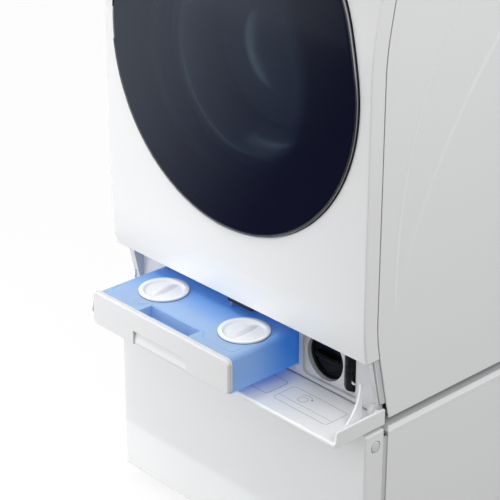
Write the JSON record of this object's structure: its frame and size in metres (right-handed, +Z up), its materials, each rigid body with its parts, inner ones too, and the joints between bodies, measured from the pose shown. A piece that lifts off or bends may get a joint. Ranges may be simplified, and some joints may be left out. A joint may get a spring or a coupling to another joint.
{
  "type": "pedestal washer",
  "caption": "Front-loading washer with a large dark round door, open service flap and pulled-out detergent drawer, standing on a low drawer-type pedestal washer.",
  "frame": {"origin": "on the floor, under the middle of the whole machine with its detergent drawer out", "axes": "+X to the right as the door is faced, +Y to the back, +Z up"},
  "size_m": [0.6, 0.73, 1.214],
  "materials": {
    "white_enamel": "gloss white enamel",
    "grey_sheet": "satin zinc-coated sheet",
    "white_plastic": "satin gloss white",
    "bay_plastic": "fine matt light grey",
    "door_glass": "polished, dark tinted",
    "bowl_glass": "polished clear",
    "bezel_metal": "satin bright trim",
    "black_plastic": "fine matt black",
    "black_gloss": "gloss black",
    "blue_tank": "translucent blue, smooth",
    "rubber": "matt",
    "hose_rubber": "matt",
    "steel": "brushed",
    "aluminium": "as cast",
    "iron": "rough",
    "tub_plastic": "moulded grey",
    "button_grey": "satin"
  },
  "bodies": {
    "cabinet": {"control_box": "black_plastic", "counterweights": "iron", "dampers": "black_plastic", "door_gasket": "rubber", "door_hinge_bracket": "steel", "door_lock": "black_plastic", "door_well": "black_plastic", "dosing_pump": "black_plastic", "drain_pump": "black_plastic", "drum_bearings": "steel", "emergency_drain_hose": "hose_rubber", "front_panel": "white_enamel", "inlet_valve": "black_plastic", "mains_gland": "black_plastic", "motor_stator": "iron", "pedestal_base": "grey_sheet", "pedestal_feet": "rubber", "pedestal_outer_rails": "steel", "pedestal_rear_panel": "grey_sheet", "pedestal_side_left": "white_enamel", "pedestal_side_right": "white_enamel", "pedestal_top_plate": "white_enamel", "service_bay": "bay_plastic", "spring_beam": "grey_sheet", "sump_hose": "hose_rubber", "suspension_springs": "steel", "tank_sensor_bracket": "black_plastic", "tank_sensor_pin": "steel", "tub_front": "tub_plastic", "tub_rear": "tub_plastic", "washer_base": "grey_sheet", "washer_feet": "rubber", "washer_rear_panel": "grey_sheet", "washer_side_left": "white_enamel", "washer_side_right": "white_enamel", "washer_top_panel": "white_enamel"},
    "door": {"door_glass": "door_glass", "door_bezel": "bezel_metal", "door_frame": "black_gloss", "door_inner_cover": "black_plastic", "door_bowl": "bowl_glass", "door_hinge_leaf": "steel", "door_latch_hook": "steel"},
    "drum": {"drum_shell": "steel", "drum_lifters": "tub_plastic", "drum_spider": "aluminium", "motor_rotor": "steel"},
    "detergent_drawer": {"detergent_tank": "blue_tank", "drawer_front": "white_plastic"},
    "left_cap": {"tank_cap_left": "white_plastic"},
    "right_cap": {"tank_cap_right": "white_plastic"},
    "flap": {"service_flap": "white_plastic"},
    "filter_cap": {"drain_filter_cap": "black_plastic"},
    "pedestal_drawer": {"pedestal_drawer_front": "white_enamel", "pedestal_drawer_tray": "grey_sheet", "mini_tub": "tub_plastic", "mini_motor": "aluminium"},
    "small_drum": {"mini_drum": "steel"},
    "small_lid": {"mini_tub_lid": "white_plastic"},
    "button": {"start_button": "button_grey"}
  },
  "joints": [
    {"name": "door_hinge", "type": "hinge", "parent": "cabinet", "child": "door", "pos_m": [-0.272, -0.26, 0.8824], "axis": [0, 0, -1], "range_deg": [0, 95]},
    {"name": "drum_spin", "type": "hinge", "parent": "cabinet", "child": "drum", "pos_m": [0, 0.216, 0.8824], "axis": [0, 1, 0], "continuous": true},
    {"name": "drawer_slide", "type": "slide", "parent": "cabinet", "child": "detergent_drawer", "axis": [0, 1, 0], "range_m": [0, 0.146]},
    {"name": "left_cap_turn", "type": "hinge", "parent": "detergent_drawer", "child": "left_cap", "pos_m": [-0.142, -0.2785, 0.449], "axis": [0, 0, 1], "range_deg": [0, 90]},
    {"name": "right_cap_turn", "type": "hinge", "parent": "detergent_drawer", "child": "right_cap", "pos_m": [0.056, -0.2785, 0.449], "axis": [0, 0, 1], "range_deg": [0, 90]},
    {"name": "flap_hinge", "type": "hinge", "parent": "cabinet", "child": "flap", "pos_m": [0, -0.22, 0.38], "axis": [-1, 0, 0], "range_deg": [0, 10]},
    {"name": "filter_cap_turn", "type": "hinge", "parent": "cabinet", "child": "filter_cap", "pos_m": [0.163, -0.202, 0.416], "axis": [0, 1, 0], "range_deg": [-120, 0]},
    {"name": "pedestal_drawer_slide", "type": "slide", "parent": "cabinet", "child": "pedestal_drawer", "axis": [0, -1, 0], "range_m": [0, 0.38]},
    {"name": "small_drum_spin", "type": "hinge", "parent": "pedestal_drawer", "child": "small_drum", "pos_m": [0, 0.04785, 0.092], "axis": [0, 0, 1], "continuous": true},
    {"name": "small_lid_hinge", "type": "hinge", "parent": "pedestal_drawer", "child": "small_lid", "pos_m": [0, 0.288, 0.2863], "axis": [-1, 0, 0], "range_deg": [0, 4.5]},
    {"name": "start_button_press", "type": "slide", "parent": "pedestal_drawer", "child": "button", "axis": [-1, 0, 0], "range_m": [0, 0.002], "stiffness_N_per_m": 400}
  ]
}
